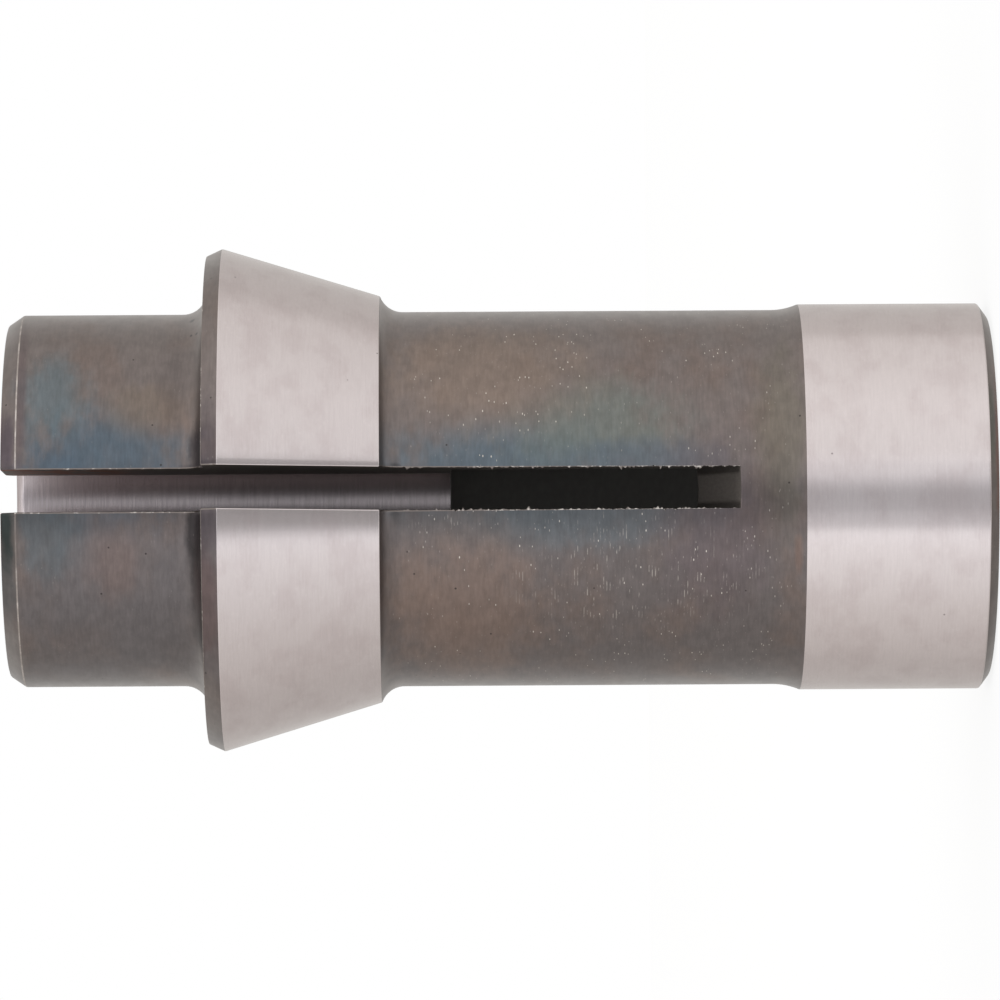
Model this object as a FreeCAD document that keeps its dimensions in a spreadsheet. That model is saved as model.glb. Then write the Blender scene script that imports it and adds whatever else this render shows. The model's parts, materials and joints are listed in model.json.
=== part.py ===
# Push-type spring collet with an extended nose, for a bar lathe. It is one piece of spring steel, turned and
# ground outside, bored from both ends, and split from the nose by three saw cuts that leave its jaws.
# The axis is Z. The origin is the centre of the rear face, +Z points to the nose, and the first slot faces
# -Y. Lengths are in millimetres, angles in degrees.

import FreeCAD, Part
import os
import Sketcher
from FreeCAD import Vector
from math import radians, sqrt, tan
from types import SimpleNamespace

# Driving dimensions: alias, value and what it measures
SIZES = [
    ("guide_diameter", "28.0", "ground guide at the rear"),
    ("guide_length", "13.7", "rear face to the guide's front edge"),
    ("guide_runout_radius", "5.0", "hollow radius in front of the guide"),
    ("rear_chamfer_length", "0.7", "outer chamfer of the rear face, along the axis"),
    ("rear_chamfer_depth", "0.95", "the same chamfer, across the axis"),
    ("body_length", "30.3", "guide's front edge to the foot of the cone"),
    ("body_relief", "0.4", "how far the body's surface lies under the guide's"),
    ("body_wall", "2.85", "wall of the body around the relief bore"),
    ("neck_radius", "1.75", "hollow radius between the body and the cone"),
    ("cone_foot_height", "1.165", "how far the foot of the cone stands off the body"),
    ("cone_length", "11.4", "ground clamping cone, along the axis"),
    ("cone_half_angle", "17.0", "between the cone's side and the axis"),
    ("head_bevel_length", "1.15", "bevel from the cone to the head's front face, along the axis"),
    ("head_bevel_depth", "0.53", "the same bevel, across the axis"),
    ("shoulder_radius", "1.75", "hollow radius between the head and the nose"),
    ("nose_length", "14.35", "head's front face to the nose face"),
    ("nose_relief", "0.5", "how far the nose's surface lies under the guide's"),
    ("nose_chamfer_length", "1.1", "outer chamfer of the nose face, along the axis"),
    ("nose_chamfer_depth", "0.75", "the same chamfer, across the axis"),
    ("grip_bore_diameter", "13.0", "bore that holds the bar"),
    ("grip_bore_length", "32.0", "nose face to the inner end of that bore"),
    ("nose_mouth_chamfer", "0.5", "45 degree chamfer at the bore's mouth in the nose"),
    ("rear_mouth_chamfer", "0.8", "45 degree chamfer at the bore's mouth in the rear face"),
    ("slot_count", "3", "saw cuts, evenly spaced around the axis"),
    ("slot_width", "3.0", "thickness of the saw"),
    ("slot_end_land", "4.65", "guide's front edge to the slots' ends, along the body's surface"),
    ("saw_diameter", "63.0", "saw whose curve is left at the end of each slot"),
    ("saw_reach", "3.0", "how far inside the wall of the bar's bore the saw comes"),
    ("saw_overrun", "1.0", "how far the outline of a cut stands clear of the blank"),
]

# What several features share, as formulas on the cells of the sheet
GUIDE_RADIUS = "sizes.guide_diameter / 2"
BODY_RADIUS = f"({GUIDE_RADIUS} - sizes.body_relief)"
RELIEF_BORE_RADIUS = f"({BODY_RADIUS} - sizes.body_wall)"
GRIP_BORE_RADIUS = "sizes.grip_bore_diameter / 2"
CONE_RISE = "sizes.cone_length * tan(sizes.cone_half_angle * 1 deg)"
HEAD_RADIUS = f"({BODY_RADIUS} + sizes.cone_foot_height + {CONE_RISE})"
HEAD_FACE = "(sizes.guide_length + sizes.body_length + sizes.cone_length + sizes.head_bevel_length)"
OVERALL_LENGTH = f"({HEAD_FACE} + sizes.nose_length)"

# Point positions of an edge in a sketch, and the sketch's own origin
START, END = 1, 2
ORIGIN = (-1, 1)


def make_sheet(doc):
    """The sheet of driving dimensions, one alias to a row."""
    sheet = doc.addObject("Spreadsheet::Sheet", "sizes")
    for row, (alias, value, meaning) in enumerate(SIZES, start=1):
        sheet.set(f"A{row}", alias)
        sheet.set(f"B{row}", value)
        sheet.set(f"C{row}", meaning)
        sheet.setAlias(f"B{row}", alias)
    doc.recompute()
    return sheet


def follow_sizes(s):
    """The radii, and the heights above the rear face, that follow from the driving dimensions."""
    guide_radius = s.guide_diameter / 2
    body_radius = guide_radius - s.body_relief
    cone_foot_radius = body_radius + s.cone_foot_height
    cone_foot = s.guide_length + s.body_length
    cone_top = cone_foot + s.cone_length
    head_face = cone_top + s.head_bevel_length
    return SimpleNamespace(
        guide_radius=guide_radius,
        body_radius=body_radius,
        nose_radius=guide_radius - s.nose_relief,
        cone_foot_radius=cone_foot_radius,
        head_radius=cone_foot_radius + s.cone_length * tan(radians(s.cone_half_angle)),
        relief_bore_radius=body_radius - s.body_wall,
        grip_bore_radius=s.grip_bore_diameter / 2,
        cone_foot=cone_foot,
        cone_top=cone_top,
        head_face=head_face,
        nose_face=head_face + s.nose_length,
    )


def origin_feature(body, role):
    """One of the body's own planes or axes, such as XZ_Plane or Z_Axis."""
    return next(feature for feature in body.Origin.OriginFeatures if feature.Role == role)


def new_sketch(body, name, plane):
    """An empty sketch on one of the body's own planes."""
    sketch = body.newObject("Sketcher::SketchObject", name)
    sketch.AttachmentSupport = [(origin_feature(body, plane), "")]
    sketch.MapMode = "FlatFace"
    return sketch


def draw_outline(sketch, corners, arc_centres, smooth_corners):
    """Draws a closed outline through named corners and joins its edges, tangent at the smooth corners.
    Each edge is named after the corner where it starts, and is an arc if it has a centre.
    Returns each edge's number, with the positions of its first and last points."""
    names = list(corners)
    pairs = list(zip(names, names[1:] + names[:1]))
    edges = {}
    for name, following in pairs:
        start = Vector(*corners[name], 0)
        end = Vector(*corners[following], 0)
        if name in arc_centres:
            centre = Vector(*arc_centres[name], 0)
            outward = ((start + end) / 2 - centre).normalize()
            curve = Part.Arc(start, centre + outward * (start - centre).Length, end)
        else:
            curve = Part.LineSegment(start, end)
        number = sketch.addGeometry(curve, False)
        runs_forward = sketch.getPoint(number, START).isEqual(start, 1e-6)
        edges[name] = (number, START, END) if runs_forward else (number, END, START)
    for name, following in pairs:
        number, _, last = edges[name]
        next_number, first, _ = edges[following]
        kind = "Tangent" if following in smooth_corners else "Coincident"
        sketch.addConstraint(Sketcher.Constraint(kind, number, last, next_number, first))
    return edges


def constrain(sketch, kind, *edges):
    """The same constraint on each of the edges, such as Horizontal."""
    for number, _, _ in edges:
        sketch.addConstraint(Sketcher.Constraint(kind, number))


def name_and_bind(sketch, name, formula):
    """Names the newest constraint and ties it to a formula."""
    sketch.renameConstraint(sketch.ConstraintCount - 1, name)
    sketch.setExpression(f"Constraints.{name}", formula)


def measure(sketch, kind, low, high, name, formula):
    """A distance along X or Y from the low point to the high point. Each point is an edge and its end."""
    gap = sketch.getPoint(*high) - sketch.getPoint(*low)
    value = gap.x if kind == "DistanceX" else gap.y
    sketch.addConstraint(Sketcher.Constraint(kind, *low, *high, value))
    name_and_bind(sketch, name, formula)


def measure_all(sketch, across, along):
    """The distances along X, then those along Y. Each is its two points, its name and its formula."""
    for row in across:
        measure(sketch, "DistanceX", *row)
    for row in along:
        measure(sketch, "DistanceY", *row)


def turn_blank(body, s, d):
    """The solid blank: half of its outside, from the axis out, turned about the axis.
    In the sketch X is the radius and Y the height above the rear face."""
    sketch = new_sketch(body, "turned_outline", "XZ_Plane")

    body_rear = s.guide_length + sqrt(s.body_relief * (2 * s.guide_runout_radius - s.body_relief))
    body_front = d.cone_foot - sqrt(s.cone_foot_height * (2 * s.neck_radius - s.cone_foot_height))
    shoulder_centre = (d.nose_radius + s.shoulder_radius, d.head_face + s.shoulder_radius)
    corners = {
        "axis_rear": (0, 0),
        "rear_edge": (d.guide_radius - s.rear_chamfer_depth, 0),
        "guide_rear": (d.guide_radius, s.rear_chamfer_length),
        "guide_front": (d.guide_radius, s.guide_length),
        "body_rear": (d.body_radius, body_rear),
        "body_front": (d.body_radius, body_front),
        "cone_foot": (d.cone_foot_radius, d.cone_foot),
        "cone_top": (d.head_radius, d.cone_top),
        "head_edge": (d.head_radius - s.head_bevel_depth, d.head_face),
        "shoulder": (shoulder_centre[0], d.head_face),
        "nose_rear": (d.nose_radius, shoulder_centre[1]),
        "nose_front": (d.nose_radius, d.nose_face - s.nose_chamfer_length),
        "nose_edge": (d.nose_radius - s.nose_chamfer_depth, d.nose_face),
        "axis_nose": (0, d.nose_face),
    }
    arc_centres = {
        "guide_front": (d.body_radius + s.guide_runout_radius, body_rear),
        "body_front": (d.body_radius + s.neck_radius, body_front),
        "shoulder": shoulder_centre,
    }
    edges = draw_outline(sketch, corners, arc_centres, {"body_rear", "body_front", "shoulder", "nose_rear"})
    at = {name: (number, first) for name, (number, first, _) in edges.items()}

    sketch.addConstraint(Sketcher.Constraint("Coincident", *at["axis_rear"], *ORIGIN))
    constrain(sketch, "Horizontal", edges["axis_rear"], edges["head_edge"], edges["nose_edge"])
    constrain(sketch, "Vertical", edges["guide_rear"], edges["body_rear"])
    constrain(sketch, "Vertical", edges["nose_rear"], edges["axis_nose"])
    across = [
        (ORIGIN, at["guide_rear"], "guide_radius", GUIDE_RADIUS),
        (at["rear_edge"], at["guide_rear"], "rear_chamfer_depth", "sizes.rear_chamfer_depth"),
        (at["body_rear"], at["guide_front"], "body_relief", "sizes.body_relief"),
        (at["body_front"], at["cone_foot"], "cone_foot_height", "sizes.cone_foot_height"),
        (ORIGIN, at["cone_top"], "head_radius", HEAD_RADIUS),
        (at["head_edge"], at["cone_top"], "head_bevel_depth", "sizes.head_bevel_depth"),
        (at["nose_rear"], at["guide_front"], "nose_relief", "sizes.nose_relief"),
        (at["nose_edge"], at["nose_front"], "nose_chamfer_depth", "sizes.nose_chamfer_depth"),
    ]
    along = [
        (at["rear_edge"], at["guide_rear"], "rear_chamfer_length", "sizes.rear_chamfer_length"),
        (ORIGIN, at["guide_front"], "guide_length", "sizes.guide_length"),
        (at["cone_foot"], at["cone_top"], "cone_length", "sizes.cone_length"),
        (at["cone_top"], at["head_edge"], "head_bevel_length", "sizes.head_bevel_length"),
        (at["head_edge"], at["nose_edge"], "nose_length", "sizes.nose_length"),
        (at["nose_front"], at["nose_edge"], "nose_chamfer_length", "sizes.nose_chamfer_length"),
        (ORIGIN, at["nose_edge"], "overall_length", OVERALL_LENGTH),
    ]
    measure_all(sketch, across, along)
    for corner, alias in (
        ("guide_front", "guide_runout_radius"),
        ("body_front", "neck_radius"),
        ("shoulder", "shoulder_radius"),
    ):
        sketch.addConstraint(Sketcher.Constraint("Radius", at[corner][0], getattr(s, alias)))
        name_and_bind(sketch, alias, f"sizes.{alias}")

    blank = body.newObject("PartDesign::Revolution", "turned_blank")
    blank.Profile = sketch
    blank.ReferenceAxis = (origin_feature(body, "Z_Axis"), [""])
    blank.Angle = 360
    return blank


def bore_blank(body, s, d):
    """The bar's bore from the nose and the wider relief bore from the rear, cut as one turned shape."""
    sketch = new_sketch(body, "bored_outline", "XZ_Plane")

    step = d.nose_face - s.grip_bore_length
    corners = {
        "axis_rear": (0, 0),
        "rear_mouth": (d.relief_bore_radius + s.rear_mouth_chamfer, 0),
        "relief_rear": (d.relief_bore_radius, s.rear_mouth_chamfer),
        "relief_front": (d.relief_bore_radius, step),
        "grip_rear": (d.grip_bore_radius, step),
        "grip_front": (d.grip_bore_radius, d.nose_face - s.nose_mouth_chamfer),
        "nose_mouth": (d.grip_bore_radius + s.nose_mouth_chamfer, d.nose_face),
        "axis_nose": (0, d.nose_face),
    }
    edges = draw_outline(sketch, corners, {}, set())
    at = {name: (number, first) for name, (number, first, _) in edges.items()}

    sketch.addConstraint(Sketcher.Constraint("Coincident", *at["axis_rear"], *ORIGIN))
    constrain(sketch, "Horizontal", edges["axis_rear"], edges["relief_front"], edges["nose_mouth"])
    constrain(sketch, "Vertical", edges["relief_rear"], edges["grip_rear"], edges["axis_nose"])
    across = [
        (ORIGIN, at["relief_rear"], "relief_radius", RELIEF_BORE_RADIUS),
        (at["relief_rear"], at["rear_mouth"], "rear_mouth_depth", "sizes.rear_mouth_chamfer"),
        (ORIGIN, at["grip_rear"], "grip_radius", GRIP_BORE_RADIUS),
        (at["grip_front"], at["nose_mouth"], "nose_mouth_depth", "sizes.nose_mouth_chamfer"),
    ]
    along = [
        (at["rear_mouth"], at["relief_rear"], "rear_mouth_length", "sizes.rear_mouth_chamfer"),
        (at["grip_rear"], at["nose_mouth"], "grip_bore_length", "sizes.grip_bore_length"),
        (at["grip_front"], at["nose_mouth"], "nose_mouth_length", "sizes.nose_mouth_chamfer"),
        (ORIGIN, at["nose_mouth"], "overall_length", OVERALL_LENGTH),
    ]
    measure_all(sketch, across, along)

    bores = body.newObject("PartDesign::Groove", "bores")
    bores.Profile = sketch
    bores.ReferenceAxis = (origin_feature(body, "Z_Axis"), [""])
    bores.Angle = 360
    return bores


def saw_slots(body, s, d):
    """The saw cuts that free the jaws: in from the nose, each through one wall, with the saw's curve at its
    end. In the sketch X is the body's Y and Y is its height, so the first cut lies at negative X."""
    sketch = new_sketch(body, "saw_outline", "YZ_Plane")

    saw_radius = s.saw_diameter / 2
    floor = d.grip_bore_radius - s.saw_reach
    saw_centre = floor + saw_radius
    outside = d.head_radius + s.saw_overrun
    saw_entry = d.nose_face + s.saw_overrun
    slot_end = s.guide_length + s.slot_end_land
    centre_height = slot_end + sqrt(saw_radius**2 - (saw_centre - d.body_radius) ** 2)
    outside_height = centre_height - sqrt(saw_radius**2 - (saw_centre - outside) ** 2)
    corners = {
        "outside_nose": (-outside, saw_entry),
        "floor_nose": (-floor, saw_entry),
        "floor_end": (-floor, centre_height),
        "outside_end": (-outside, outside_height),
    }
    edges = draw_outline(sketch, corners, {"floor_end": (-saw_centre, centre_height)}, {"floor_end"})
    at = {name: (number, first) for name, (number, first, _) in edges.items()}

    constrain(sketch, "Horizontal", edges["outside_nose"])
    constrain(sketch, "Vertical", edges["floor_nose"], edges["outside_end"])
    saw_arc = edges["floor_end"][0]
    sketch.addConstraint(Sketcher.Constraint("Radius", saw_arc, saw_radius))
    name_and_bind(sketch, "saw_radius", "sizes.saw_diameter / 2")
    surface_end = (sketch.addGeometry(Part.Point(Vector(-d.body_radius, slot_end, 0)), True), START)
    sketch.addConstraint(Sketcher.Constraint("PointOnObject", *surface_end, saw_arc))
    across = [
        (surface_end, ORIGIN, "body_radius", BODY_RADIUS),
        (at["floor_nose"], ORIGIN, "floor_radius", f"{GRIP_BORE_RADIUS} - sizes.saw_reach"),
        (at["outside_nose"], ORIGIN, "outside_radius", f"{HEAD_RADIUS} + sizes.saw_overrun"),
    ]
    along = [
        (ORIGIN, surface_end, "slot_end", "sizes.guide_length + sizes.slot_end_land"),
        (ORIGIN, at["floor_nose"], "saw_entry", f"{OVERALL_LENGTH} + sizes.saw_overrun"),
    ]
    measure_all(sketch, across, along)

    slot = body.newObject("PartDesign::Pocket", "first_slot")
    slot.Profile = sketch
    slot.Type = "Length"
    slot.SideType = "Symmetric"
    slot.setExpression("Length", "sizes.slot_width")

    slots = body.newObject("PartDesign::PolarPattern", "slots")
    slots.Originals = [slot]
    slots.Axis = (origin_feature(body, "Z_Axis"), [""])
    slots.Angle = 360
    slots.setExpression("Occurrences", "sizes.slot_count")
    body.Tip = slots
    return slots


def check_model(doc, body, steps):
    """Stops with a plain message if anything failed, a sketch is loose, or a cut took nothing away."""
    for item in doc.Objects:
        if "Invalid" in item.State or "Error" in item.State:
            raise RuntimeError(f"{item.Name} failed: {item.State}")
        if item.isDerivedFrom("Sketcher::SketchObject") and not item.FullyConstrained:
            raise RuntimeError(f"{item.Name} is not fully constrained")
    if body.Shape.isNull() or not body.Shape.isValid() or len(body.Shape.Solids) != 1:
        raise RuntimeError(f"{body.Label} is not one valid solid")
    for before, after in zip(steps, steps[1:]):
        if not after.Shape.Volume < before.Shape.Volume:
            raise RuntimeError(f"{after.Name} takes nothing away from {before.Name}")


doc = FreeCAD.newDocument("collet")
sheet = make_sheet(doc)

body = doc.addObject("PartDesign::Body", "collet_body")
body.Label = "collet"
derived = follow_sizes(sheet)
blank = turn_blank(body, sheet, derived)
bores = bore_blank(body, sheet, derived)
slots = saw_slots(body, sheet, derived)
doc.recompute()
check_model(doc, body, [blank, bores, slots])

os.makedirs("parts", exist_ok=True)
body.Shape.exportStep(f"parts/{body.Label}.step")
box = body.Shape.BoundBox
print(f"{body.Label}: {box.XLength:.2f} x {box.YLength:.2f} x {box.ZLength:.2f} mm")
print(f"volume {body.Shape.Volume:.0f} mm3, area {body.Shape.Area:.0f} mm2")
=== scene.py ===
import json
from math import acos, asin, atan2, copysign, cos, pi, radians, sin, sqrt, tan

import bmesh
import bpy
from mathutils import Matrix, Vector, noise


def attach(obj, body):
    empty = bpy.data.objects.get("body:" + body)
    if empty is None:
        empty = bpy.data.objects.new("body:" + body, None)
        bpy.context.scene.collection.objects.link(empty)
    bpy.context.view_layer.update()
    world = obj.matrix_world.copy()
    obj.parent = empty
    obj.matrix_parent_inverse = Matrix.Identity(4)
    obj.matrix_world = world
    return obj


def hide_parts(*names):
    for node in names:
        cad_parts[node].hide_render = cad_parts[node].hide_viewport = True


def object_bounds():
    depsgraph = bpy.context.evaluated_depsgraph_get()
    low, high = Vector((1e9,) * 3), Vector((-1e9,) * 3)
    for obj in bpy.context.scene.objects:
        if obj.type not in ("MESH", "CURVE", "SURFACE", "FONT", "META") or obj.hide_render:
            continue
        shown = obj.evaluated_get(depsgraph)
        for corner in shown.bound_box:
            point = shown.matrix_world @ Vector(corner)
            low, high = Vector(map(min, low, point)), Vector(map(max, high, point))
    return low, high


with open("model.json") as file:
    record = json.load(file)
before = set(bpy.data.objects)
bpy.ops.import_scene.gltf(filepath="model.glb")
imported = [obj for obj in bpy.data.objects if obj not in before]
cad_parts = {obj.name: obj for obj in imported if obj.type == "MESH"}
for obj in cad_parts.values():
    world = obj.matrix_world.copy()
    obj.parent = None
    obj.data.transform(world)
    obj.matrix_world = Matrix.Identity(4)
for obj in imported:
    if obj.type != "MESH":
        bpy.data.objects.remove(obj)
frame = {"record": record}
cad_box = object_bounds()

scene = bpy.context.scene
scene.view_settings.view_transform = "Standard"

# Camera
# A long lens looks at the first saw slot from a little to one side, and lies on its side, so that the
# standing collet shows with its nose to the left.
camera_distance = 0.5164
camera_azimuth = radians(-3.1)
camera_height = 0.03892
aim_height = 0.03536
camera_roll = radians(-0.34)
aim_rise = 0.0001
lens_length = 255.6

sideways = Vector((cos(camera_azimuth), sin(camera_azimuth), 0))
camera_place = Vector((sin(camera_azimuth), -cos(camera_azimuth), 0)) * camera_distance
camera_place += Vector((0, 0, camera_height)) - sideways * aim_rise
aim = Vector((0, 0, aim_height)) - sideways * aim_rise
view_back = (camera_place - aim).normalized()
image_up = Matrix.Rotation(camera_roll, 3, view_back) @ sideways
image_right = image_up.cross(view_back)
camera_data = bpy.data.cameras.new("camera")
camera_data.lens = lens_length
camera = bpy.data.objects.new("camera", camera_data)
camera.matrix_world = Matrix((image_right, image_up, view_back)).transposed().to_4x4()
camera.location = camera_place
scene.collection.objects.link(camera)
scene.camera = camera

# Studio
# The collet stands on a pale floor before a white surround. Bright steel mirrors the room round it: a dark lens,
# a broad soft lamp on each side of it that fades outwards, and duller walls at the sides and the back.
floor_radius = 0.9
floor_colour = "#FFFFFF"
floor_shadow_share = 0.15
floor_clearance = 0.00005
room_radius = 4.0
room_peak = 1.5
room_floor_share = 0.9
room_ceiling_share = 1.1
wall_foot = (-0.5, -0.1)
wall_top = (0.3, 0.7)
warm_green_loss = 0.025
warm_blue_loss = 0.06
# What the steel mirrors, from the back wall round by the left to the right: each one's angle from the camera's
# side in degrees, how bright it is against white paper, and how warm.
room_lights = {
    "back wall": (-180, 0.66, 1.0),
    "left wall's end": (-120, 0.76, 1.0),
    "left wall": (-104, 0.86, 0.9),
    "left lamp's far edge": (-77, 1.01, 0.6),
    "left lamp": (-34, 1.35, -0.3),
    "left lamp's core": (-26, 1.44, -0.6),
    "left lamp's rim": (-23.2, 1.42, -0.6),
    "gap beside the left lamp": (-21.2, 0.93, -0.8),
    "left side of the camera": (-14.5, 0.92, -0.9),
    "dark lens hood": (-10, 0.77, -1.0),
    "dark lens": (0, 0.70, -1.0),
    "right side of the camera": (7, 1.05, -0.9),
    "right lamp's rim": (10, 1.26, -0.7),
    "right lamp's core": (18, 1.37, -0.5),
    "fold in the right lamp's cloth": (23, 1.26, -0.1),
    "right lamp": (53, 1.29, 0.1),
    "right lamp's far edge": (104, 1.08, 0.6),
    "right wall": (113, 0.87, 0.9),
    "right wall's end": (148, 0.74, 1.0),
    "back wall again": (180, 0.66, 1.0),
}
stand_distance = 0.80
stand_width = 0.54
stand_top = -0.24
stand_bottom = -1.0
stand_brightness = 0.44


def srgb(hex_colour):
    """A colour written as sRGB hex, as the linear red, green, blue and alpha that a socket takes."""
    channels = [int(hex_colour[place:place + 2], 16) / 255 for place in (1, 3, 5)]
    linear = [c / 12.92 if c <= 0.04045 else ((c + 0.055) / 1.055) ** 2.4 for c in channels]
    return (*linear, 1.0)


def add_node(tree, kind, inputs=None, **settings):
    """Adds a node with its settings. Each of its inputs is a value, the output of another node, or that node, whose
    first output in use is then taken."""
    node = tree.nodes.new(kind)
    for name, value in settings.items():
        setattr(node, name, value)
    for socket, value in (inputs or {}).items():
        if isinstance(value, bpy.types.Node):
            value = next(output for output in value.outputs if output.enabled)
        if isinstance(value, bpy.types.NodeSocket):
            tree.links.new(value, node.inputs[socket])
        else:
            node.inputs[socket].default_value = value
    return node


def new_material(name):
    """An empty node material, and its tree."""
    material = bpy.data.materials.new(name)
    material.use_nodes = True
    material.node_tree.nodes.clear()
    return material, material.node_tree


surround = bpy.data.worlds.new("white_surround")
surround.use_nodes = True
tree = surround.node_tree
tree.nodes.clear()
paper = add_node(tree, "ShaderNodeBackground", {"Color": srgb("#FFFFFF"), "Strength": 1.0})
add_node(tree, "ShaderNodeOutputWorld", {"Surface": paper.outputs[0]})
scene.world = surround

lit_walls, tree = new_material("lit_walls")
here = add_node(tree, "ShaderNodeTexCoord")
direction = add_node(tree, "ShaderNodeVectorMath", {0: here.outputs["Object"]}, operation="NORMALIZE")
axes = add_node(tree, "ShaderNodeSeparateXYZ", {0: direction.outputs[0]})
forwards = add_node(tree, "ShaderNodeMath", {0: axes.outputs["Y"], 1: -1.0}, operation="MULTIPLY")
angle = add_node(tree, "ShaderNodeMath", {0: axes.outputs["X"], 1: forwards.outputs[0]}, operation="ARCTAN2")
place = add_node(
    tree, "ShaderNodeMath", {0: angle.outputs[0], 1: 1 / (2 * pi), 2: 0.5}, operation="MULTIPLY_ADD"
)
lights = add_node(tree, "ShaderNodeValToRGB", {"Fac": place.outputs[0]})
while len(lights.color_ramp.elements) < len(room_lights):
    lights.color_ramp.elements.new(0.5)
for stop, (degrees, brightness, warmth) in zip(lights.color_ramp.elements, room_lights.values()):
    stop.position = degrees / 360 + 0.5
    share = brightness / room_peak
    stop.color = (share, share * (1 - warm_green_loss * warmth), share * (1 - warm_blue_loss * warmth), 1)
lower_walls = add_node(
    tree, "ShaderNodeMapRange",
    {"Value": axes.outputs["Z"], "From Min": wall_foot[0], "From Max": wall_foot[1],
     "To Min": room_peak * room_floor_share, "To Max": room_peak}
)
upper_walls = add_node(
    tree, "ShaderNodeMapRange",
    {"Value": axes.outputs["Z"], "From Min": wall_top[0], "From Max": wall_top[1], "To Min": 1.0,
     "To Max": room_ceiling_share}
)
strength = add_node(
    tree, "ShaderNodeMath", {0: lower_walls.outputs[0], 1: upper_walls.outputs[0]}, operation="MULTIPLY"
)
glow = add_node(tree, "ShaderNodeEmission", {"Color": lights.outputs[0], "Strength": strength.outputs[0]})
add_node(tree, "ShaderNodeOutputMaterial", {"Surface": glow.outputs[0]})
lit_walls.cycles.emission_sampling = "NONE"

dome = bmesh.new()
bmesh.ops.create_uvsphere(dome, u_segments=96, v_segments=48, radius=room_radius)
room_mesh = bpy.data.meshes.new("room")
dome.to_mesh(room_mesh)
dome.free()
room_mesh.materials.append(lit_walls)
room = bpy.data.objects.new("room", room_mesh)
room.visible_camera = False
scene.collection.objects.link(room)

painted_floor, tree = new_material("painted_floor")
paint = add_node(tree, "ShaderNodeBsdfDiffuse", {"Color": srgb(floor_colour)})
white = add_node(tree, "ShaderNodeEmission", {"Color": srgb("#FFFFFF"), "Strength": 1.0})
mixed = add_node(
    tree, "ShaderNodeMixShader", {0: 1 - floor_shadow_share, 1: paint.outputs[0], 2: white.outputs[0]}
)
clear = add_node(tree, "ShaderNodeBsdfTransparent")
side = add_node(tree, "ShaderNodeNewGeometry")
from_above = add_node(
    tree, "ShaderNodeMixShader", {0: side.outputs["Backfacing"], 1: mixed.outputs[0], 2: clear.outputs[0]}
)
add_node(tree, "ShaderNodeOutputMaterial", {"Surface": from_above.outputs[0]})

disc = bmesh.new()
bmesh.ops.create_circle(disc, cap_ends=True, segments=96, radius=floor_radius)
bmesh.ops.translate(disc, vec=(0, 0, -floor_clearance), verts=disc.verts)
floor_mesh = bpy.data.meshes.new("floor")
disc.to_mesh(floor_mesh)
disc.free()
floor_mesh.materials.append(painted_floor)
floor = bpy.data.objects.new("floor", floor_mesh)
floor.visible_glossy = False
scene.collection.objects.link(floor)

camera_stand, tree = new_material("camera_stand")
cloth = add_node(tree, "ShaderNodeEmission", {"Color": srgb("#FFFFFF"), "Strength": stand_brightness})
add_node(tree, "ShaderNodeOutputMaterial", {"Surface": cloth.outputs[0]})
sheet = bmesh.new()
bmesh.ops.create_grid(sheet, x_segments=1, y_segments=1, size=0.5)
bmesh.ops.scale(sheet, vec=(stand_width, stand_top - stand_bottom, 1), verts=sheet.verts)
bmesh.ops.rotate(sheet, matrix=Matrix.Rotation(radians(90), 3, "X"), verts=sheet.verts)
bmesh.ops.translate(sheet, vec=(0, -stand_distance, (stand_top + stand_bottom) / 2), verts=sheet.verts)
stand_mesh = bpy.data.meshes.new("camera_stand")
sheet.to_mesh(stand_mesh)
sheet.free()
stand_mesh.materials.append(camera_stand)
stand = bpy.data.objects.new("camera_stand", stand_mesh)
stand.visible_camera = False
stand.visible_diffuse = False
stand.visible_shadow = False
scene.collection.objects.link(stand)

# Collet, turned blank
# The blank is spring steel, turned all over and bored from both ends. One third of it is made here, with a
# slot's place at its middle, and each stretch of its outline is spun about the axis with its own finish.
mm = 0.001
mounts = {mount["name"]: mount for mount in frame["record"]["mounts"]}
FINISHES = ["tempered_skin", "ground_steel", "honed_bore", "bore_scale", "sawn_wall", "bare_edge", "worn_corner"]


def round_wall(name):
    """The radius of a round mount, and the heights where its wall starts and ends."""
    mount = mounts[name]
    middle = mount["pos_m"][2]
    half = mount["dims"]["length_mm"] * mm / 2
    return mount["dims"]["r_mm"] * mm, middle - half, middle + half


guide_radius, guide_rear, guide_front = round_wall("rear_guide")
relief_radius, relief_rear, bore_step = round_wall("rear_bore")
grip_radius, _, grip_front = round_wall("work_bore")
head_face = mounts["head_front_face"]["pos_m"][2]
head_radius = cad_box[1].x
nose_face = cad_box[1].z
body_radius = guide_radius - 0.4 * mm
nose_radius = guide_radius - 0.5 * mm
rear_chamfer_depth = 0.95 * mm
runout_radius = 5.0 * mm
neck_radius = 1.75 * mm
shoulder_radius = 1.75 * mm
head_bevel = Vector((0.53, 0, 1.15)) * mm
cone_length = 11.4 * mm
cone_half_angle = radians(17.0)
nose_chamfer = Vector((0.75, 0, 1.1)) * mm

cone_top = head_face - head_bevel.z
cone_foot = cone_top - cone_length
cone_foot_radius = head_radius - cone_length * tan(cone_half_angle)
cone_rise = cone_foot_radius - body_radius
runout_drop = guide_radius - body_radius
body_rear = guide_front + sqrt(runout_drop * (2 * runout_radius - runout_drop))
body_front = cone_foot - sqrt(cone_rise * (2 * neck_radius - cone_rise))
nose_rear = head_face + shoulder_radius

slot_count = 3
side_columns = 32
slot_columns = 4
slot_half_width = 1.5 * mm
third = 2 * pi / slot_count
column_count = 2 * side_columns + slot_columns
weld_distance = 0.002 * mm
snap_distance = 0.03 * mm


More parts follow.
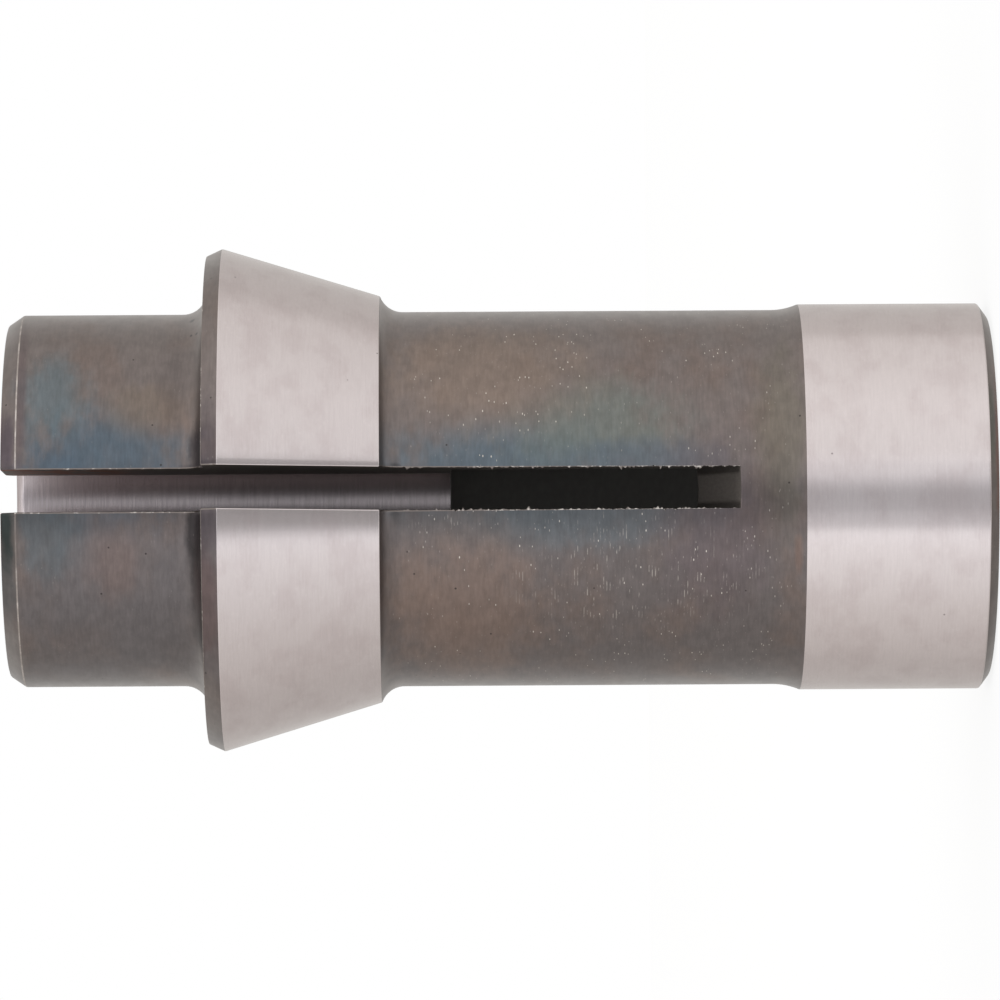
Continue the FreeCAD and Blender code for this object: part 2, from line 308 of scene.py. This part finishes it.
def turn(finish, start, *steps):
    """Turns one stretch of the outline with its finish. Each step is a straight line to a radius and a height,
    or an arc about a centre's radius and height, through an angle, in a number of parts."""
    tip = blank.verts.new((start[0], 0, start[1]))
    for step in steps:
        if len(step) == 2:
            tip = bmesh.ops.extrude_vert_indiv(blank, verts=[tip])["verts"][0]
            tip.co = (step[0], 0, step[1])
        else:
            centre_radius, centre_height, angle, parts = step
            centre = (centre_radius, 0, centre_height)
            arc = bmesh.ops.spin(blank, geom=[tip], cent=centre, axis=(0, 1, 0), angle=angle, steps=parts)
            tip = arc["geom_last"][0]
    drawn = [edge for edge in blank.edges if edge.is_wire]
    points = list(dict.fromkeys(vertex for edge in drawn for vertex in edge.verts))
    turned_before = set(blank.faces)
    bmesh.ops.spin(
        blank, geom=points + drawn, cent=(0, 0, 0), axis=(0, 0, 1), angle=third, steps=column_count
    )
    for face in set(blank.faces) - turned_before:
        face.material_index = FINISHES.index(finish)


def radius_of_point(point):
    """How far a point stands from the axis."""
    return point.xy.length


def radius_of(vertex):
    """How far a vertex stands from the axis."""
    return vertex.co.xy.length


blank = bmesh.new()
turn("tempered_skin", (relief_radius, relief_rear), (relief_radius + relief_rear, 0),
     (guide_radius - rear_chamfer_depth, 0), (guide_radius, guide_rear))
turn("ground_steel", (guide_radius, guide_rear), (guide_radius, guide_front))
turn("tempered_skin", (guide_radius, guide_front),
     (body_radius + runout_radius, body_rear, acos(1 - runout_drop / runout_radius), 8),
     (body_radius, body_front),
     (body_radius + neck_radius, body_front, acos(1 - cone_rise / neck_radius), 10))
turn("ground_steel", (cone_foot_radius, cone_foot), (head_radius, cone_top))
turn("tempered_skin", (head_radius, cone_top), (head_radius - head_bevel.x, head_face),
     (nose_radius + shoulder_radius, head_face),
     (nose_radius + shoulder_radius, nose_rear, radians(90), 12),
     (nose_radius, nose_face - nose_chamfer.z), (nose_radius - nose_chamfer.x, nose_face),
     (grip_radius + nose_face - grip_front, nose_face))
turn("honed_bore", (grip_radius + nose_face - grip_front, nose_face), (grip_radius, grip_front),
     (grip_radius, bore_step))
turn("bore_scale", (grip_radius, bore_step), (relief_radius, bore_step), (relief_radius, relief_rear))
bmesh.ops.remove_doubles(blank, verts=blank.verts, dist=weld_distance)
bmesh.ops.rotate(blank, matrix=Matrix.Rotation(-radians(90) - third / 2, 3, "Z"), verts=blank.verts)

for vertex in blank.verts:
    radius = radius_of(vertex)
    column = round((atan2(vertex.co.x, -vertex.co.y) + third / 2) / third * column_count)
    jaw_angle = third / 2 - asin(slot_half_width / radius)
    if column < side_columns:
        angle = -third / 2 + jaw_angle * column / side_columns
    elif column > side_columns + slot_columns:
        angle = third / 2 - jaw_angle * (column_count - column) / side_columns
    else:
        angle = asin(slot_half_width * (2 * (column - side_columns) / slot_columns - 1) / radius)
    vertex.co.xy = (radius * sin(angle), -radius * cos(angle))

# Collet, rounded edges
# The tool leaves each turned corner a little round, and tumbling wears the skin off the sharpest of them.
# Each corner: its radius, its height, how wide it is rounded in mm, and its finish where that is its own.
rounded_corners = [
    (guide_radius - rear_chamfer_depth, 0, 0.10, None),
    (guide_radius, guide_rear, 0.08, "ground_steel"),
    (guide_radius, guide_front, 0.05, None),
    (cone_foot_radius, cone_foot, 0.07, None),
    (head_radius, cone_top, 0.08, None),
    (head_radius - head_bevel.x, head_face, 0.06, "bare_edge"),
    (nose_radius, nose_face - nose_chamfer.z, 0.06, "worn_corner"),
    (nose_radius - nose_chamfer.x, nose_face, 0.10, None),
    (grip_radius + nose_face - grip_front, nose_face, 0.06, None),
    (grip_radius, grip_front, 0.06, None),
    (grip_radius, bore_step, 0.06, "bore_scale"),
    (relief_radius, relief_rear, 0.08, None),
    (relief_radius + relief_rear, 0, 0.08, None),
]
for corner_radius, corner_height, width, finish in rounded_corners:
    ring = [
        edge for edge in blank.edges
        if all(abs(radius_of(end) - corner_radius) < weld_distance for end in edge.verts)
        and all(abs(end.co.z - corner_height) < weld_distance for end in edge.verts)
    ]
    rounded = bmesh.ops.bevel(
        blank, geom=ring, offset=width * mm, offset_type="OFFSET", affect="EDGES", segments=2, profile=0.5,
        material=-1
    )
    if finish:
        for face in rounded["faces"]:
            face.material_index = FINISHES.index(finish)
for vertex in blank.verts:
    radius = radius_of(vertex)
    if abs(abs(vertex.co.x) - slot_half_width) < snap_distance:
        vertex.co.x = copysign(slot_half_width, vertex.co.x)
        vertex.co.y = -sqrt(radius**2 - slot_half_width**2)

# Collet, saw slots
# A slitting saw comes in from the nose and through one wall, and its curve stays at the slot's end.
saw_radius = 31.5 * mm
saw_floor = grip_radius - 3.0 * mm
slot_end = guide_front + 4.65 * mm
floor_rows = 6
saw_middle_y = -saw_floor - saw_radius
saw_middle_z = slot_end + sqrt(saw_radius**2 - (saw_middle_y + body_radius) ** 2)
lip_width = 0.11 * mm


def saw_height(y):
    """The height of the saw's curve at a depth."""
    return saw_middle_z - sqrt(saw_radius**2 - (y - saw_middle_y) ** 2)


def in_slot(face):
    """Whether a face of the blank lies across the slot."""
    return abs(face.calc_center_median().x) < slot_half_width - weld_distance


def cut_strip(outer_radius):
    """Cuts across the strip of wall in the slot's way, along the saw's curve, and returns the cut edges."""
    height = saw_height(-outer_radius)
    strip = [
        face for face in blank.faces
        if in_slot(face) and all(abs(radius_of(corner) - outer_radius) < weld_distance for corner in face.verts)
        and min(corner.co.z for corner in face.verts) < height < max(corner.co.z for corner in face.verts)
    ]
    around = list(dict.fromkeys(edge for face in strip for edge in face.edges))
    corners = list(dict.fromkeys(corner for face in strip for corner in face.verts))
    cut = bmesh.ops.bisect_plane(
        blank, geom=strip + around + corners, dist=weld_distance / 10, plane_co=(0, 0, height), plane_no=(0, 0, 1)
    )
    cut_edges = [part for part in cut["geom_cut"] if isinstance(part, bmesh.types.BMEdge)]
    for vertex in {end for edge in cut_edges for end in edge.verts}:
        vertex.co.z = saw_height(vertex.co.y)
    return cut_edges


outer_cut = cut_strip(body_radius)
inner_cut = cut_strip(relief_radius)
sawn_away = [
    face for face in blank.faces
    if in_slot(face) and face.calc_center_median().z > saw_height(face.calc_center_median().y)
]
bmesh.ops.delete(blank, geom=sawn_away, context="FACES")
sawn = FINISHES.index("sawn_wall")
slot_floor = bmesh.ops.bridge_loops(blank, edges=outer_cut + inner_cut)
for face in slot_floor["faces"]:
    face.material_index = sawn
bmesh.ops.subdivide_edges(blank, edges=slot_floor["edges"], cuts=floor_rows - 1, use_grid_fill=True)
for face in blank.faces:
    if face.material_index == sawn:
        for corner in face.verts:
            corner.co.z = saw_height(corner.co.y)
for side in (-1, 1):
    rim = [
        edge for edge in blank.edges
        if edge.is_boundary and all(abs(end.co.x - side * slot_half_width) < weld_distance for end in edge.verts)
    ]
    made = bmesh.ops.contextual_create(blank, geom=rim)
    for face in made["faces"]:
        face.material_index = sawn
slot_rim = [
    edge for edge in blank.edges
    if len(edge.link_faces) == 2 and sum(face.material_index == sawn for face in edge.link_faces) == 1
]
lips = bmesh.ops.bevel(
    blank, geom=slot_rim, offset=lip_width, offset_type="OFFSET", affect="EDGES", segments=2, profile=0.5,
    material=-1
)
bare = FINISHES.index("bare_edge")
for face in lips["faces"]:
    middle = face.calc_center_median()
    if radius_of_point(middle) > nose_radius - 2 * lip_width and middle.z > slot_end + 2 * lip_width:
        on_cone = cone_foot < middle.z < cone_top
        face.material_index = FINISHES.index("ground_steel") if on_cone else bare

# Collet, burrs
# The saw pushes a thin ragged burr up along the slot's outer edges, on the body and a little on the nose.
burr_spacing = 0.1 * mm
burr_rise = 0.14 * mm
burr_overhang = 0.3 * mm
burr_size = 0.13 * mm
burr_run = 1.6 * mm
nose_burr_share = 0.2
mean_lump = 0.22
lump_raggedness = 1.4
lump_drift = 0.4
mean_bend = 0.3
bend_raggedness = 1.5
for rear, front in ((slot_end, body_front), (nose_rear, nose_face - nose_chamfer.z)):
    lip_edges = list(dict.fromkeys(
        edge for face in lips["faces"] for edge in face.edges
        if edge.calc_length() > (front - rear) / 2
        and min(radius_of(end) for end in edge.verts) > nose_radius - lip_width
        and all(rear - lip_width < end.co.z < front + lip_width for end in edge.verts)
    ))
    bmesh.ops.subdivide_edges(blank, edges=lip_edges, cuts=int((front - rear) / burr_spacing))

first_third = blank.verts[:] + blank.edges[:] + blank.faces[:]
for turn_number in range(1, slot_count):
    copied = bmesh.ops.duplicate(blank, geom=first_third)
    corners = [part for part in copied["geom"] if isinstance(part, bmesh.types.BMVert)]
    bmesh.ops.rotate(blank, matrix=Matrix.Rotation(turn_number * third, 3, "Z"), verts=corners)
bmesh.ops.remove_doubles(blank, verts=blank.verts, dist=weld_distance)
bmesh.ops.recalc_face_normals(blank, faces=blank.faces)
for vertex in blank.verts:
    on_body = slot_end < vertex.co.z < body_front
    on_nose = nose_rear < vertex.co.z < nose_face - nose_chamfer.z - lip_width
    if (on_body or on_nose) and all(face.material_index == bare for face in vertex.link_faces):
        outwards = Vector((vertex.co.x, vertex.co.y, 0)).normalized()
        nearest_slot = round(atan2(vertex.co.x, -vertex.co.y) / third) * third
        across = Vector((cos(nearest_slot), sin(nearest_slot), 0))
        lump = mean_lump + lump_raggedness * noise.noise(vertex.co / burr_size)
        lump += lump_drift * noise.noise(vertex.co / burr_run)
        share = max(0, lump) * (1 if on_body else nose_burr_share)
        bend = mean_bend + bend_raggedness * noise.noise(vertex.co / (2 * burr_size))
        vertex.co += outwards * burr_rise * share
        vertex.co -= across * copysign(burr_overhang * share, vertex.co.dot(across)) * bend

collet_mesh = bpy.data.meshes.new("collet_steel")
blank.to_mesh(collet_mesh)
blank.free()
collet_mesh.shade_smooth()
collet = bpy.data.objects.new("collet_steel", collet_mesh)
scene.collection.objects.link(collet)
shading = collet.modifiers.new("even_shading", "WEIGHTED_NORMAL")
shading.weight = 100
shading.keep_sharp = False

# Collet, tempered skin
# The heat treatment leaves a thin oxide on the turned steel: a grey-brown skin, blue and rusty in cloudy patches
# where it grew thicker. The cutter's lines, small bright chips and dark pits show through it. Some patches on it
# are painted shade, painted reflection and painted highlight.
skin_colour = srgb("#6B625F")
darker_side_skin_colour = srgb("#605958")
warm_skin_colour = srgb("#6B5C55")
chip_colour = srgb("#C9C2B8")
pit_colour = srgb("#241F1D")
shiny_skin = 0.31
dull_skin = 0.38
feed_pitch = 0.23
feed_patch = (-6.5, 26.0, 5.5, 10.0)
small_feed_patch = (-2.0, 39.5, 2.0, 3.0)
edge_raggedness = 0.2
patch_rim = 1.15
patch_core = 0.3
# Each patch: first its place, which is its distance round the collet from the slot, its height and its reach each
# way, all in mm; then its colour, and how strongly it shows. Each one lies over those before it. Most are the
# oxide's own colours, but the patches named shade are painted shade, the dark green one on the nose's chamfer below
# the slot is a painted reflection, and the light ones at the sides of the head's bevel and the chamfer are painted
# highlights.
temper_and_painted_light_patches = {
    "nose_blue": ((1.8, 63.6, 5.1, 7.0), "#455561", 0.85),
    "nose_teal": ((7.4, 67.2, 4.2, 3.0), "#56646A", 0.7),
    "nose_slot_blue": ((0.9, 67.0, 2.6, 2.6), "#3F5160", 0.5),
    "nose_rust": ((6.2, 60.6, 2.6, 3.4), "#6E6053", 0.5),
    "nose_shoulder_grey": ((9.0, 58.5, 4.5, 1.6), "#5C5452", 0.45),
    "lower_nose_grey": ((-9.0, 63.0, 12.0, 8.5), "#605C5E", 0.6),
    "nose_plum": ((8.0, 69.5, 9.0, 0.5), "#57494A", 0.6),
    "lower_nose_blue": ((-2.6, 67.6, 4.6, 3.0), "#4E5559", 0.7),
    "lower_nose_rust": ((-5.5, 63.0, 3.2, 2.4), "#6B5A55", 0.5),
    "chamfer_blue": ((3.4, 70.45, 3.6, 0.9), "#463C44", 0.8),
    "lower_chamfer_grey": ((-7.0, 70.45, 4.0, 0.9), "#525253", 0.7),
    # Painted reflection: a dark green band on the nose's chamfer below the slot.
    "lower_chamfer_painted_reflection": ((-2.9, 70.45, 5.0, 0.9), "#1D2827", 0.95),
    # Painted shade and painted reflection: a dark band in the hollow of the shoulder's fillet, heaviest beside the
    # slot.
    "shoulder_shade": ((-2.4, 57.05, 6.4, 0.85), "#1F1A1B", 0.9),
    "upper_shoulder_shade": ((2.6, 56.85, 2.6, 0.6), "#2C2627", 0.7),
    "lower_shoulder_shade": ((-8.6, 56.9, 4.4, 0.7), "#2C2728", 0.5),
    "bevel_shade": ((0.0, 56.1, 6.5, 1.2), "#463D41", 0.7),
    "lower_bevel_shade": ((-6.8, 56.1, 4.0, 1.2), "#564746", 0.85),
    # Painted highlights: the head's bevel lighter where it turns away towards the outline on each side.
    "upper_bevel_painted_highlight": ((18.0, 56.1, 5.0, 1.2), "#7A726E", 0.6),
    "lower_bevel_painted_highlight": ((-14.5, 56.1, 3.6, 1.2), "#7A726E", 0.6),
    # Painted highlight: the nose's chamfer lighter where it turns away towards the lower outline.
    "lower_chamfer_painted_highlight": ((-14.0, 70.4, 4.5, 1.0), "#7A7471", 0.7),
    "body_blue": ((1.8, 35.6, 4.4, 9.4), "#4D5C66", 0.8),
    "body_teal": ((4.4, 28.5, 4.8, 7.5), "#606965", 0.65),
    "body_slot_blue": ((1.9, 25.5, 1.9, 7.5), "#505963", 0.65),
    "body_brown": ((9.5, 36.5, 6.5, 9.0), "#79695E", 0.65),
    "lower_body_blue": ((-1.6, 31.5, 3.4, 13.0), "#575D61", 0.75),
    "lower_body_brown": ((-10.0, 38.0, 9.5, 6.5), "#746259", 0.7),
    "rear_green": ((4.0, 15.5, 9.0, 2.2), "#655F52", 0.5),
    "rear_rust": ((-4.9, 14.3, 1.8, 0.4), "#7A553F", 0.25),
    "rear_chamfer": ((0.0, 0.3, 13.0, 0.9), "#6A615D", 0.9),
    "rear_chamfer_green": ((4.6, 0.6, 3.6, 0.6), "#51534A", 0.75),
    "rear_edge_rust": ((3.0, 0.0, 8.0, 0.3), "#6B4032", 0.7),
    "rear_plum": ((-3.0, 20.0, 8.0, 5.0), "#5A4F51", 0.6),
    "shoulder_pit": ((16.1, 57.5, 0.42, 0.26), "#120D0C", 0.95),
    "second_pit": ((13.4, 57.5, 0.2, 0.12), "#120D0C", 0.9),
    "third_pit": ((13.2, 57.1, 0.2, 0.12), "#120D0C", 0.9),
}


def position_in_mm(tree):
    """A point's own position on the collet, in mm."""
    here = add_node(tree, "ShaderNodeTexCoord")
    return add_node(tree, "ShaderNodeVectorMath", {0: here.outputs["Object"], "Scale": 1 / mm}, operation="SCALE")


def lay_flat(tree, axes):
    """The surface laid flat, from the position's axes: the distance round from the slot, and the height."""
    forwards = add_node(tree, "ShaderNodeMath", {0: axes.outputs["Y"], 1: -1.0}, operation="MULTIPLY")
    angle = add_node(tree, "ShaderNodeMath", {0: axes.outputs["X"], 1: forwards}, operation="ARCTAN2")
    around = add_node(tree, "ShaderNodeMath", {0: angle, 1: body_radius / mm}, operation="MULTIPLY")
    return add_node(tree, "ShaderNodeCombineXYZ", {"X": around, "Y": axes.outputs["Z"]})


def clouds(tree, position, across, along, detail, offset=0.0):
    """Noise of one size in mm across the axis and another along it, so that it can run out into turned lines. The
    offset picks another part of the noise."""
    placed = add_node(
        tree, "ShaderNodeMapping",
        {"Vector": position, "Location": (offset, offset, offset), "Scale": (1 / across, 1 / across, 1 / along)}
    )
    return add_node(
        tree, "ShaderNodeTexNoise", {"Vector": placed, "Scale": 1.0, "Detail": detail, "Roughness": 0.55}
    )


def specks(tree, position, spacing, size, share):
    """Small round specks, one in each cell of a spacing in mm, where a share of the cells has one."""
    cells = add_node(tree, "ShaderNodeTexVoronoi", {"Vector": position, "Scale": 1 / spacing, "Randomness": 1.0})
    inside = add_node(
        tree, "ShaderNodeMapRange",
        {"Value": cells.outputs["Distance"], "From Min": size / spacing, "From Max": 0.5 * size / spacing},
        interpolation_type="SMOOTHSTEP"
    )
    chance = add_node(tree, "ShaderNodeSeparateColor", {0: cells.outputs["Color"]})
    chosen = add_node(tree, "ShaderNodeMath", {0: chance, 1: share}, operation="LESS_THAN")
    return add_node(tree, "ShaderNodeMath", {0: inside, 1: chosen}, operation="MULTIPLY")


def patch(tree, laid_flat, ragged, place):
    """A soft oval patch with a ragged edge, from its place round from the slot, its height, and its reach each way
    in mm."""
    around, height, reach_around, reach_along = place
    offset = add_node(tree, "ShaderNodeVectorMath", {0: laid_flat, 1: (around, height, 0)}, operation="SUBTRACT")
    relative = add_node(
        tree, "ShaderNodeVectorMath", {0: offset, 1: (reach_around, reach_along, 1)}, operation="DIVIDE"
    )
    distance = add_node(tree, "ShaderNodeVectorMath", {0: relative}, operation="LENGTH")
    push = add_node(
        tree, "ShaderNodeMapRange",
        {"Value": ragged, "From Min": 0.25, "From Max": 0.75, "To Min": -edge_raggedness, "To Max": edge_raggedness},
        interpolation_type="SMOOTHSTEP"
    )
    uneven = add_node(tree, "ShaderNodeMath", {0: distance.outputs["Value"], 1: push}, operation="ADD")
    return add_node(
        tree, "ShaderNodeMapRange", {"Value": uneven, "From Min": patch_rim, "From Max": patch_core},
        interpolation_type="SMOOTHSTEP"
    )


def laid_over(tree, colour, over, pattern, low, high, strength=1.0):
    """A colour with another laid over it as a pattern goes from one of its levels to another, up to a strength."""
    share = add_node(
        tree, "ShaderNodeMapRange", {"Value": pattern, "From Min": low, "From Max": high, "To Max": strength},
        interpolation_type="SMOOTHSTEP"
    )
    return add_node(tree, "ShaderNodeMix", {0: share, 6: colour, 7: over}, data_type="RGBA")


def covered(tree, colour, over, mask, strength):
    """A colour with another laid over it where a mask is, at a strength."""
    share = add_node(tree, "ShaderNodeMath", {0: mask, 1: strength}, operation="MULTIPLY")
    return add_node(tree, "ShaderNodeMix", {0: share, 6: colour, 7: over}, data_type="RGBA")


def toned(tree, colour, pattern, low, high, start, end):
    """A colour multiplied by a tone that goes from start to end as a pattern goes from low to high."""
    tone = add_node(
        tree, "ShaderNodeMapRange",
        {"Value": pattern, "From Min": low, "From Max": high, "To Min": start, "To Max": end},
        interpolation_type="SMOOTHSTEP"
    )
    return add_node(tree, "ShaderNodeMix", {0: 1.0, 6: colour, 7: tone}, data_type="RGBA", blend_type="MULTIPLY")


def thinned(tree, mask, pattern, low, high, start=0.0, end=1.0):
    """A mask whose share goes from start to end as a pattern goes from low to high."""
    share = add_node(
        tree, "ShaderNodeMapRange",
        {"Value": pattern, "From Min": low, "From Max": high, "To Min": start, "To Max": end},
        interpolation_type="SMOOTHSTEP"
    )
    return add_node(tree, "ShaderNodeMath", {0: mask, 1: share}, operation="MULTIPLY")


def steel(tree, colour, roughness, height, height_mm, anisotropy, oxide=0.0):
    """Metal with a surface height in mm, which shines further along the axis than round it. An oxide lies on it
    as a thin clear coat."""
    relief = add_node(tree, "ShaderNodeBump", {"Strength": 1.0, "Distance": height_mm * mm, "Height": height})
    along_axis = add_node(tree, "ShaderNodeCombineXYZ", {"Z": 1.0})
    metal = add_node(
        tree, "ShaderNodeBsdfPrincipled",
        {"Base Color": colour, "Metallic": 1.0, "Roughness": roughness, "Anisotropic": anisotropy,
         "Coat Weight": oxide, "Coat Roughness": 0.3, "Coat IOR": 1.5, "Normal": relief, "Tangent": along_axis}
    )
    add_node(tree, "ShaderNodeOutputMaterial", {"Surface": metal})


tempered_skin, tree = new_material("tempered_skin")
position = position_in_mm(tree)
axes = add_node(tree, "ShaderNodeSeparateXYZ", {0: position})
laid_flat = lay_flat(tree, axes)
cloudy = clouds(tree, position, across=6.0, along=4.0, detail=5.0)
ragged = clouds(tree, position, across=2.2, along=1.2, detail=6.0, offset=17.0)
turned_lines = clouds(tree, position, across=1.2, along=0.19, detail=5.0, offset=5.0)
mottled = clouds(tree, position, across=1.1, along=0.8, detail=5.0, offset=71.0)
# The skin is a little darker on the side towards negative x.
colour = laid_over(tree, darker_side_skin_colour, skin_colour, axes.outputs["X"], low=-2.0, high=3.0)
colour = laid_over(tree, colour, warm_skin_colour, cloudy, low=0.42, high=0.72, strength=0.7)
for place, patch_colour, strength in temper_and_painted_light_patches.values():
    colour = covered(tree, colour, srgb(patch_colour), patch(tree, laid_flat, ragged, place), strength)
colour = toned(tree, colour, turned_lines, low=0.25, high=0.75, start=0.91, end=1.09)
colour = toned(tree, colour, mottled, low=0.3, high=0.7, start=0.91, end=1.08)

# In two places the cutter's feed has left bright lines, broken by the skin that grew over them.
feed_angle = add_node(
    tree, "ShaderNodeMath", {0: axes.outputs["Z"], 1: 2 * pi / feed_pitch}, operation="MULTIPLY"
)
feed_wave = add_node(tree, "ShaderNodeMath", {0: feed_angle}, operation="SINE")
feed_marks = add_node(
    tree, "ShaderNodeMath",
    {0: patch(tree, laid_flat, ragged, feed_patch), 1: patch(tree, laid_flat, ragged, small_feed_patch)},
    operation="MAXIMUM"
)
feed_marks = thinned(tree, feed_marks, feed_wave, low=0.3, high=1.0)
feed_breaks = clouds(tree, position, across=0.9, along=0.5, detail=3.0, offset=31.0)
feed_marks = thinned(tree, feed_marks, feed_breaks, low=0.56, high=0.68)
colour = covered(tree, colour, chip_colour, feed_marks, strength=0.35)

# The bright chips are about 0.1 mm long and twice as wide. They crowd together in clouds and are rare near both
# ground bands. The pits are about 0.2 mm across and lie far apart.
drawn_out = add_node(tree, "ShaderNodeMapping", {"Vector": position, "Scale": (0.4, 0.4, 1.0)})
chips = specks(tree, drawn_out, spacing=0.26, size=0.045, share=0.75)
crowding = clouds(tree, position, across=2.2, along=2.2, detail=3.0, offset=43.0)
chips = thinned(tree, chips, crowding, low=0.5, high=0.62, start=0.08, end=0.9)
chips = thinned(tree, chips, axes.outputs["Z"], low=39.0, high=44.0, start=1.0, end=0.1)
chips = thinned(tree, chips, axes.outputs["Z"], low=13.0, high=20.0, start=0.15, end=1.0)
colour = covered(tree, colour, chip_colour, chips, strength=1.0)
pits = specks(tree, position, spacing=1.5, size=0.1, share=0.4)
colour = covered(tree, colour, pit_colour, pits, strength=0.8)
skin_relief = add_node(tree, "ShaderNodeMath", {0: feed_marks, 1: 0.5, 2: turned_lines}, operation="MULTIPLY_ADD")
skin_shine = add_node(
    tree, "ShaderNodeMapRange",
    {"Value": ragged, "From Min": 0.3, "From Max": 0.7, "To Min": shiny_skin, "To Max": dull_skin},
    interpolation_type="SMOOTHSTEP"
)
steel(tree, colour, skin_shine, skin_relief, height_mm=0.0008, anisotropy=0.45, oxide=0.4)

# Collet, ground steel
# The cone and the guide are ground to size through the skin, and the wheel leaves fine bright lines round them.
# Real grinding lines are about 0.01 mm apart, too fine to show, so they are drawn 0.11 mm apart.
ground_colour = srgb("#C4BBBA")
ground_blotch_colour = srgb("#BEB4B3")
scuff_turn = radians(40)
ground_steel, tree = new_material("ground_steel")
position = position_in_mm(tree)
laid_flat = lay_flat(tree, add_node(tree, "ShaderNodeSeparateXYZ", {0: position}))
grinding_lines = clouds(tree, position, across=1.6, along=0.11, detail=5.0)
blotches = clouds(tree, position, across=3.2, along=2.2, detail=4.0, offset=9.0)
colour = laid_over(tree, ground_colour, ground_blotch_colour, blotches, low=0.42, high=0.68)
colour = toned(tree, colour, grinding_lines, low=0.3, high=0.7, start=0.98, end=1.02)
turned_flat = add_node(
    tree, "ShaderNodeMapping", {"Vector": laid_flat, "Rotation": (0, 0, scuff_turn)}, vector_type="TEXTURE"
)
scuffs = clouds(tree, turned_flat, across=0.3, along=3.0, detail=3.0)
colour = toned(tree, colour, scuffs, low=0.55, high=0.75, start=1.0, end=1.04)
pits = specks(tree, position, spacing=1.9, size=0.09, share=0.4)
colour = covered(tree, colour, pit_colour, pits, strength=0.7)
ground_shine = add_node(
    tree, "ShaderNodeMapRange",
    {"Value": blotches, "From Min": 0.3, "From Max": 0.7, "To Min": 0.225, "To Max": 0.255},
    interpolation_type="SMOOTHSTEP"
)
steel(tree, colour, ground_shine, grinding_lines, height_mm=0.0004, anisotropy=0.85)

# Collet, bores and slots
# The holding bore is honed bright, and painted lighter towards the nose, as painted light falling in through its
# mouth. The wide bore behind it keeps its black scale, and the saw leaves dark walls with faint lines along them.
# Real honing and saw lines are too fine to show, so they are drawn 0.12 and 0.15 mm apart.
honed_bore, tree = new_material("honed_bore")
position = position_in_mm(tree)
axes = add_node(tree, "ShaderNodeSeparateXYZ", {0: position})
honing_lines = clouds(tree, position, across=2.0, along=0.12, detail=3.0)
colour = toned(tree, srgb("#B5ACAD"), honing_lines, low=0.3, high=0.7, start=0.9, end=1.08)
# Painted light: the bore lighter towards the nose, where light falls in through its mouth.
colour = toned(tree, colour, axes.outputs["Z"], low=40.0, high=67.0, start=0.92, end=1.06)
steel(tree, colour, 0.26, honing_lines, height_mm=0.0006, anisotropy=0.3)

bore_scale, tree = new_material("bore_scale")
crust = clouds(tree, position_in_mm(tree), across=0.6, along=0.4, detail=4.0)
colour = toned(tree, srgb("#706E6B"), crust, low=0.3, high=0.7, start=0.95, end=1.05)
steel(tree, colour, 0.6, crust, height_mm=0.004, anisotropy=0.0)

# The slots' walls have rusted a little near the nose.
sawn_wall, tree = new_material("sawn_wall")
position = position_in_mm(tree)
axes = add_node(tree, "ShaderNodeSeparateXYZ", {0: position})
saw_lines = clouds(tree, position, across=0.15, along=3.0, detail=3.0)
colour = toned(tree, srgb("#55504C"), saw_lines, low=0.3, high=0.7, start=0.92, end=1.06)
rust = add_node(
    tree, "ShaderNodeMapRange", {"Value": axes.outputs["Z"], "From Min": 60.0, "From Max": 64.0},
    interpolation_type="SMOOTHSTEP"
)
rust_clouds = clouds(tree, position, across=1.5, along=2.0, detail=3.0)
rust = thinned(tree, rust, rust_clouds, low=0.4, high=0.6)
colour = covered(tree, colour, srgb("#6E4433"), rust, strength=1.0)
steel(tree, colour, 0.6, saw_lines, height_mm=0.002, anisotropy=0.0)

# Collet, bare edges
# Handling and the saw leave the sharp edges bare and bright, in broken stretches. The nose's chamfered corner is
# worn along its whole length, and dull beside the slot.
bare_colour = srgb("#BFB8B2")
worn_skin_colour = srgb("#7D7571")
worn_corner_colour = srgb("#968E89")
polished_corner_colour = srgb("#B4ACA7")
dull_corner_colour = srgb("#655D59")
dull_corner_patch = (-3.0, 69.9, 4.5, 4.0)
bare_edge, tree = new_material("bare_edge")
position = position_in_mm(tree)
axes = add_node(tree, "ShaderNodeSeparateXYZ", {0: position})
broken = clouds(tree, position, across=0.35, along=0.35, detail=3.0)
rubbed_from = add_node(
    tree, "ShaderNodeMapRange",
    {"Value": axes.outputs["Z"], "From Min": 22.0, "From Max": 44.0, "To Min": 0.40, "To Max": 0.58},
    interpolation_type="SMOOTHSTEP"
)
rubbed = add_node(tree, "ShaderNodeMath", {0: broken, 1: rubbed_from}, operation="SUBTRACT")
colour = laid_over(tree, worn_skin_colour, bare_colour, rubbed, low=0.0, high=0.14)
steel(tree, colour, 0.35, broken, height_mm=0.002, anisotropy=0.0)

worn_corner, tree = new_material("worn_corner")
position = position_in_mm(tree)
laid_flat = lay_flat(tree, add_node(tree, "ShaderNodeSeparateXYZ", {0: position}))
polish = clouds(tree, position, across=0.8, along=0.8, detail=3.0)
colour = laid_over(tree, worn_corner_colour, polished_corner_colour, polish, low=0.4, high=0.65)
dull = patch(tree, laid_flat, polish, dull_corner_patch)
colour = covered(tree, colour, dull_corner_colour, dull, strength=0.8)
steel(tree, colour, 0.35, polish, height_mm=0.002, anisotropy=0.0)

for finish in (tempered_skin, ground_steel, honed_bore, bore_scale, sawn_wall, bare_edge, worn_corner):
    collet_mesh.materials.append(finish)
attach(collet, "root")
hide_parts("collet")
